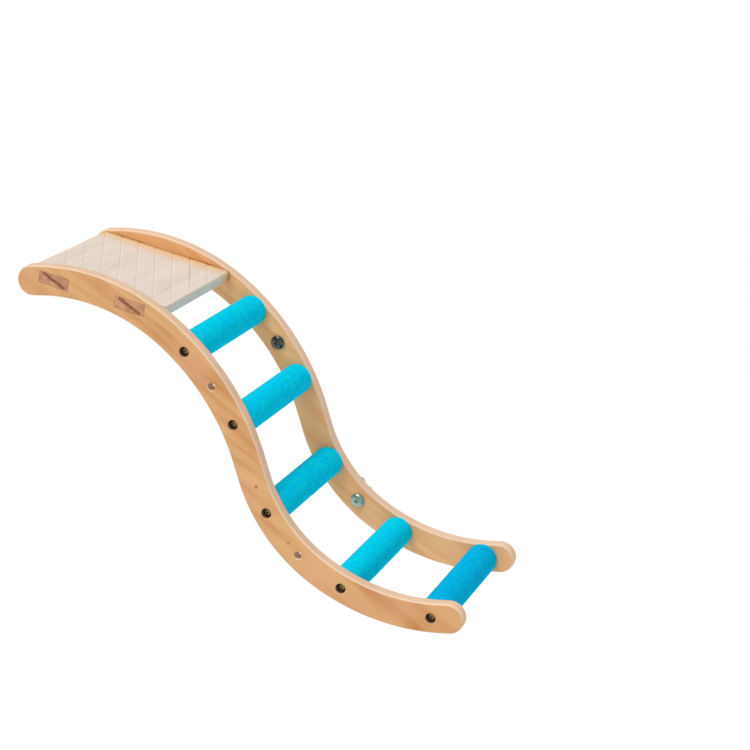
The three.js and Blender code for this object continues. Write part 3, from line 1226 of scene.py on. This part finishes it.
@dataclass
class Rung:
    """One rung: a grit-coated sleeve on its core, and a sunk screw at each end."""

    number: int
    grit: bpy.types.Material
    steel: bpy.types.Material
    core_wood: bpy.types.Material
    coat_radius: float = 9.78 * MM
    facets: int = 200
    rings: int = 300
    lip: float = 0.7 * MM

    def build(self, nodes: dict[str, bpy.types.Object]) -> None:
        """Makes the rung's pieces.

        Args:
            nodes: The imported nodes, whose core is kept.
        """
        core = nodes[f"rung_core_{self.number}"]
        core.data.materials.clear()
        core.data.materials.append(self.core_wood)
        self._sleeve()
        for side in Side:
            self._screw(side)

    def _sleeve(self) -> bpy.types.Object:
        """The grit coat, its outside roughened grain by grain."""
        node = f"rung_grit_sleeve_{self.number}"
        low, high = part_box(node)
        half = (high.y - low.y) / 2
        centre = (low + high) / 2
        inner = 8.7 * MM
        bm = bmesh.new()
        outer, lip = self.coat_radius, self.lip
        corners = [(inner, -half), (outer - lip, -half), (outer, lip - half),
                   (outer, half - lip), (outer - lip, half), (inner, half)]
        verts = [bm.verts.new((x, y, 0)) for x, y in corners]
        edges = [bm.edges.new(pair) for pair in zip(verts, verts[1:] + verts[:1])]
        bmesh.ops.subdivide_edges(bm, edges=[edges[2]], cuts=self.rings)
        bmesh.ops.spin(
            bm, geom=list(bm.verts) + list(bm.edges), cent=(0, 0, 0), axis=ACROSS,
            angle=TURN, steps=self.facets, use_merge=True,
        )
        bmesh.ops.translate(bm, verts=bm.verts, vec=centre)
        tidy(bm, 60)
        sleeve = stand(bm, f"rung_{self.number}_grit_coat")
        reach = inner + (outer - inner) / 2
        coated = sleeve.vertex_groups.new(name="coated")
        outside = [v.index for v in sleeve.data.vertices if math.hypot(v.co.x - centre.x, v.co.z - centre.z) > reach]
        coated.add(outside, 1.0, "REPLACE")
        for name, kind, size, swing in (("lumps", "CLOUDS", 3.4 * MM, 0.22 * MM), ("grains", "CLOUDS", 0.8 * MM, 0.42 * MM)):
            texture = bpy.data.textures.new(f"{name}_{self.number}", kind)
            texture.noise_scale = size
            texture.noise_depth = 1
            raised = sleeve.modifiers.new(name, "DISPLACE")
            raised.texture = texture
            raised.texture_coords = "LOCAL"
            raised.strength = swing
            raised.mid_level = 0.5
            raised.vertex_group = "coated"
        settle(sleeve)
        return fit_out(sleeve, self.grit, "cyan_grit", "ladder", node)

    def _screw(self, side: Side) -> bpy.types.Object:
        """A pan-head wood screw with a cross recess and a rolled thread."""
        node = f"{side.title}_rung_screw_{self.number}"
        low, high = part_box(node)
        centre = (low + high) / 2
        top = high.y if side is Side.REAR else low.y
        profile = [
            (0, -24.0 * MM), (0.25 * MM, -23.8 * MM), (1.15 * MM, -20.6 * MM), (1.2 * MM, -2.1 * MM),
            (1.5 * MM, -1.9 * MM), (2.6 * MM, -1.9 * MM), (2.78 * MM, -1.7 * MM), (2.78 * MM, -1.1 * MM),
            (2.55 * MM, -0.6 * MM), (2.0 * MM, -0.25 * MM), (1.2 * MM, -0.06 * MM), (0, 0),
        ]
        screw = stand(turned(profile, 32), f"{node}_steel")
        recess = gather(cross_recess(3.0 * MM, 0.85 * MM, 1.0 * MM, 0))
        joint_up(screw, stand(recess, "recess_tools"), Joinery.CUT, crossing=True)
        thread = screw_thread(1.55 * MM, 0.5 * MM, 1.35 * MM, -21.0 * MM, -4.2 * MM)
        joint_up(screw, stand(thread, "thread_tools"), Joinery.JOIN)
        flip = Matrix() if side is Side.REAR else Matrix.Rotation(TURN / 2, 4, "X")
        spin = Matrix.Rotation(math.radians(37 * self.number + 20 * side.value), 4, "Y")
        screw.data.transform(Matrix.Translation((centre.x, top, centre.z)) @ flip @ spin)
        polish(screw, 40)
        return fit_out(screw, self.steel, "screw_steel", "ladder", node)


@dataclass
class CageClamp:
    """One clamp: a domed bolt through the rear rail, with a washer and a wing nut outside it."""

    row: str
    chrome: bpy.types.Material
    steel: bpy.types.Material
    bolt_finish: bpy.types.Material
    curve: RailCurve = field(default_factory=RailCurve)
    rest_turn: float = 22.0
    wing_reach: float = 10.25 * MM
    wing_height: float = 10.2 * MM
    head_radius: float = 4.6 * MM
    head_height: float = 2.6 * MM
    shank_radius: float = 1.9 * MM
    pitch: float = 0.7 * MM

    def build(self) -> None:
        """Makes the bolt, the washer and the wing nut."""
        self._bolt()
        self._washer()
        self._wing_nut()

    def _bolt(self) -> bpy.types.Object:
        """The bolt, its dome towards the front and its thread out through the rear rail."""
        node = f"{self.row}_clamp_bolt"
        low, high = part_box(node)
        centre = (low + high) / 2
        seat = low.y + self.head_height
        length = high.y - seat
        core = self.shank_radius - 0.25 * MM
        dome = []
        steps = 10
        flat = 0.5 * MM
        for step in range(steps + 1):
            angle = TURN / 4 * step / steps
            dome.append((
                self.head_radius * math.sin(angle),
                -flat - (self.head_height - flat) * math.cos(angle),
            ))
        profile = [
            *dome, (self.head_radius - 0.08 * MM, -0.05 * MM), (self.head_radius - 0.3 * MM, 0), (core, 0),
            (core, length - 0.5 * MM), (core - 0.5 * MM, length), (0, length),
        ]
        bolt = stand(turned(profile, 56), f"{node}_chrome")
        recess = gather(cross_recess(4.0 * MM, 1.0 * MM, 1.2 * MM, self.head_height))
        bmesh.ops.rotate(recess, verts=recess.verts, cent=(0, 0, 0), matrix=Matrix.Rotation(TURN / 2, 3, "X"))
        joint_up(bolt, stand(recess, "recess_tools"), Joinery.CUT, crossing=True)
        thread = screw_thread(self.shank_radius, 0.4 * MM, self.pitch, 4 * MM, length - 0.4 * MM)
        joint_up(bolt, stand(thread, "thread_tools"), Joinery.JOIN)
        bolt.data.transform(Matrix.Translation((centre.x, seat, centre.z)))
        polish(bolt, 40)
        return fit_out(bolt, self.bolt_finish, "bright_chrome", "ladder", node)

    def _washer(self) -> bpy.types.Object:
        """A pressed flat washer with eased rims."""
        node = f"{self.row}_clamp_washer"
        low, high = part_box(node)
        centre = (low + high) / 2
        radius = (high.x - low.x) / 2
        thick = high.y - low.y
        bore, ease = 2.15 * MM, 0.18 * MM
        profile = [
            (bore, ease), (bore + ease, 0), (radius - ease, 0), (radius, ease), (radius, thick - ease),
            (radius - ease, thick), (bore + ease, thick), (bore, thick - ease), (bore, ease),
        ]
        bm = turned(profile, 64)
        bmesh.ops.translate(bm, verts=bm.verts, vec=(centre.x, low.y, centre.z))
        washer = stand(bm, f"{node}_steel")
        polish(washer, 50)
        return fit_out(washer, self.steel, "screw_steel", f"{self.row}_washer", node)

    def _wing_nut(self) -> bpy.types.Object:
        """A cast wing nut: a turned hub with two upswept ears that blend into it."""
        node = f"{self.row}_wing_nut"
        low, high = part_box(node)
        centre = (low + high) / 2
        hub = turned([(0, 0), (3.6 * MM, 0), (4.0 * MM, 0.5 * MM), (3.45 * MM, 4.3 * MM),
                      (3.0 * MM, 4.8 * MM), (0, 4.8 * MM)], 40)
        nut = stand(hub, f"{node}_cast")
        for half_turn in (0.0, TURN / 2):
            joint_up(nut, stand(self._ear(half_turn), "ear"), Joinery.JOIN)
        fused = nut.modifiers.new("fused", "REMESH")
        fused.mode = "VOXEL"
        fused.voxel_size = 0.22 * MM
        softened = nut.modifiers.new("softened", "SMOOTH")
        softened.factor = 0.5
        softened.iterations = 5
        settle(nut)
        bore = turned([(0, -MM), (2.3 * MM, -MM), (2.3 * MM, 0.1 * MM), (2.0 * MM, 0.4 * MM),
                       (2.0 * MM, 4.2 * MM), (2.4 * MM, 4.7 * MM), (2.4 * MM, 12 * MM), (0, 12 * MM)], 40)
        joint_up(nut, stand(bore, "bore_tool"), Joinery.CUT)
        turn = Matrix.Rotation(math.radians(self.rest_turn) - self.curve.heading_at(centre), 4, "Y")
        nut.data.transform(Matrix.Translation((centre.x, low.y, centre.z)) @ turn)
        polish(nut, 50)
        return fit_out(nut, self.chrome, "bright_chrome", f"{self.row}_nut", node)

    def _ear(self, half_turn: float) -> bmesh.types.BMesh:
        """One ear: a round disc joined to the hub by a tapering web.

        Args:
            half_turn: Which side of the hub it grows from, in radians.

        Returns:
            The ear's closed mesh.
        """
        bm = bmesh.new()
        reach, height = self.wing_reach, self.wing_height
        radius = 2.7 * MM
        place = Matrix.Translation((reach - radius, height - radius, 0))
        bmesh.ops.create_circle(bm, cap_ends=True, segments=28, radius=radius, matrix=place)
        web = [
            (2.0 * MM, 0.9 * MM), (3.9 * MM, 0.9 * MM), (6.4 * MM, 2.6 * MM), (reach - 0.4 * MM, height - radius - 1.1 * MM),
            (reach - 2.0 * radius + 0.3 * MM, height - radius + 0.9 * MM), (4.6 * MM, 5.0 * MM), (2.0 * MM, 4.6 * MM),
        ]
        corners = [bm.verts.new((x, y, 0)) for x, y in web]
        bm.faces.new(corners)
        thick = 1.8 * MM
        for face in list(bm.faces):
            grown = bmesh.ops.extrude_face_region(bm, geom=[face])["geom"]
            moved = [item for item in grown if isinstance(item, bmesh.types.BMVert)]
            bmesh.ops.translate(bm, verts=moved, vec=(0, 0, thick))
        bmesh.ops.translate(bm, verts=bm.verts, vec=(0, 0, -thick / 2))
        bmesh.ops.rotate(bm, verts=bm.verts, cent=(0, 0, 0), matrix=Matrix.Rotation(half_turn, 3, "Y"))
        bmesh.ops.recalc_face_normals(bm, faces=bm.faces)
        return bm


@dataclass(frozen=True)
class Studio:
    """A white studio: a far-down floor, even light all round, a soft key and the camera."""

    eye: tuple[float, float, float] = (0.49186, -1.20398, 0.42569)
    azimuth: float = 20.56
    elevation: float = 17.02
    roll: float = -0.3
    lens: float = 101.1
    floor_drop: float = 0.6
    floor_size: float = 60.0

    def build(self, low: Vector) -> None:
        """Sets up the floor, the lights and the camera.

        Args:
            low: The object's lowest corner.
        """
        self._camera()
        self._floor(low.z - self.floor_drop)
        self._lights()
        view = bpy.context.scene.view_settings
        view.view_transform = "Standard"
        view.look = "None"

    def _camera(self) -> None:
        """The camera, with no shift and no depth of field."""
        data = bpy.data.cameras.new("camera")
        data.sensor_width = 36
        data.lens = self.lens
        camera = bpy.data.objects.new("camera", data)
        turn = (
            Matrix.Rotation(math.radians(self.azimuth), 4, "Z")
            @ Matrix.Rotation(math.radians(90 - self.elevation), 4, "X")
            @ Matrix.Rotation(math.radians(self.roll), 4, "Z")
        )
        camera.matrix_world = Matrix.Translation(self.eye) @ turn
        bpy.context.scene.collection.objects.link(camera)
        bpy.context.scene.camera = camera

    def _floor(self, height: float) -> None:
        """A plain wide floor."""
        bm = bmesh.new()
        place = Matrix.Translation((0, 0, height))
        bmesh.ops.create_grid(bm, x_segments=1, y_segments=1, size=self.floor_size / 2, matrix=place)
        ground = stand(bm, "studio_floor")
        ground.data.materials.append(FloorFinish("floor_white").make())
        ground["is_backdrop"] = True

    def _lights(self) -> None:
        """Even light from all round, and a wide soft key from the upper left."""
        world = bpy.data.worlds.new("studio")
        world.use_nodes = True
        world.node_tree.nodes["Background"].inputs["Color"].default_value = (1, 1, 1, 1)
        world.node_tree.nodes["Background"].inputs["Strength"].default_value = 0.55
        bpy.context.scene.world = world
        for name, strength, spread, lean in (
            ("key", 1.86, 30, (20, -14, 0)),
            ("fill", 0.12, 70, (62, 12, 0)),
        ):
            data = bpy.data.lights.new(name, "SUN")
            data.energy = strength
            data.angle = math.radians(spread)
            lamp = bpy.data.objects.new(name, data)
            lamp.rotation_euler = Euler([math.radians(a) for a in lean])
            bpy.context.scene.collection.objects.link(lamp)


def screw_sink_shade_spots(side: Side) -> tuple[tuple[float, float, float], ...]:
    """The middles of a rail's five screw sinks, where painted shade darkens the wood.

    Args:
        side: Which rail.

    Returns:
        A point for each rung.
    """
    node = f"{side.title}_rail"
    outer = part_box(node)[1].y if side is Side.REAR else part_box(node)[0].y
    depth = 2.4 * MM
    screws = [middle_of(f"{side.title}_rung_screw_{number}") for number in range(1, 6)]
    return tuple((screw.x, outer - side.value * depth, screw.z) for screw in screws)


def pin_knots() -> tuple[tuple[float, float, float, float], ...]:
    """Two pin knots in the front rail's face, above the third rung and beside the lower bolt hole.

    Returns:
        An x, y, z and radius for each.
    """
    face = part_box("front_rail")[0].y
    third = middle_of("front_rung_screw_3")
    above = third.lerp(middle_of("front_rung_screw_2"), 0.3)
    beside = middle_of("lower_clamp_bolt").lerp(third, 0.3)
    return ((above.x, face, above.z, 1.6 * MM), (beside.x, face, beside.z, 1.1 * MM))


def main() -> None:
    """Builds the ladder and its studio."""
    logging.basicConfig(level=logging.INFO, format="%(name)s: %(message)s")
    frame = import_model()
    nodes = frame["nodes"]
    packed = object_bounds()
    Studio().build(packed[0])

    down_the_ladder = (0, math.radians(-34.6), 0)
    front_wood = WoodFinish(
        "front_rail_pine", grain_turn=down_the_ladder, shift=(0.31, 0.102, 0.004),
        early=paint(220, 172, 116), late=paint(190, 122, 62), blush=paint(222, 168, 122), ring_strength=0.36,
        shaded_sinks=screw_sink_shade_spots(Side.FRONT),
        knots=pin_knots(),
    )
    rear_wood = WoodFinish(
        "rear_rail_pine", grain_turn=down_the_ladder, shift=(0.07, 0.012, -0.02),
        early=paint(236, 184, 128), late=paint(220, 150, 90), blush=paint(232, 178, 126),
        pale=paint(232, 212, 196), shaded_sinks=screw_sink_shade_spots(Side.REAR),
    )
    SideRail(Side.REAR, rear_wood).build()
    SideRail(Side.FRONT, front_wood).build()

    across_the_ladder = (0, 0, math.radians(-90))
    fit_gap = 0.3 * MM
    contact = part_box("rear_rail")[0].y - fit_gap
    board_wood = WoodFinish(
        "platform_board_wood", early=paint(228, 214, 200), late=paint(212, 192, 176),
        blush=paint(232, 210, 202), pale=paint(226, 218, 206), grain_turn=across_the_ladder,
        ring_strength=0.4, edge_share=0.25, end_share=1.0,
        painted_light_bands=(
            # Painted light and shade on the board: a warm band of light that the rear rail throws on it, and a narrow
            # painted shadow in the gap along the rail.
            PaintedLightBand(paint(232, 186, 118), (0, 1, 0), contact, 17 * MM, 0.95),
            PaintedLightBand(paint(172, 112, 56), (0, 1, 0), contact, 3.2 * MM, 0.95),
        ),
    )
    wedge_wood = WoodFinish(
        "dark_wedge_wood", early=paint(158, 96, 54), late=paint(120, 68, 34), blush=paint(150, 90, 52),
        pale=paint(150, 96, 60), grain_turn=across_the_ladder, edge_share=0.2,
    )
    platform = Platform(board_wood, wedge_wood)
    platform.build()
    platform.dress_wedges(nodes)

    grit = GritFinish("cyan_grit_coat").make()
    low_grit = GritFinish(
        "cyan_grit_coat_low", body=paint(0, 176, 226), green=paint(0, 184, 222), deep=paint(0, 158, 216),
        glint=paint(20, 204, 240),
    ).make()
    bronze = MetalFinish(
        "screw_bronzed", colour=paint(152, 130, 92), grime=paint(88, 66, 40), roughness=0.36,
    ).make()
    steel = MetalFinish("washer_zinc", roughness=0.28).make()
    chrome = MetalFinish("wing_nut_chrome", roughness=0.12, haze=0.06).make()
    # The two clamp bolts are the same chrome; their base colours are painted reflections: dark on the upper one, as
    # of the dark room before it, pale teal on the lower one, as of the cyan rungs.
    bolt_finishes = {
        "upper": MetalFinish(
            "clamp_bolt_dark", colour=paint(92, 92, 84), grime=paint(58, 56, 50), roughness=0.13,
        ).make(),
        "lower": MetalFinish(
            "clamp_bolt_pale", colour=paint(160, 182, 172), grime=paint(120, 130, 116), roughness=0.28,
        ).make(),
    }
    core_wood = WoodFinish("rung_core_pine", grain_turn=across_the_ladder).make()
    for number in range(1, 6):
        Rung(number, low_grit if number == 5 else grit, bronze, core_wood).build(nodes)
    for row, bolt_finish in bolt_finishes.items():
        CageClamp(row, chrome, steel, bolt_finish).build()


if __name__ == "__main__":
    main()
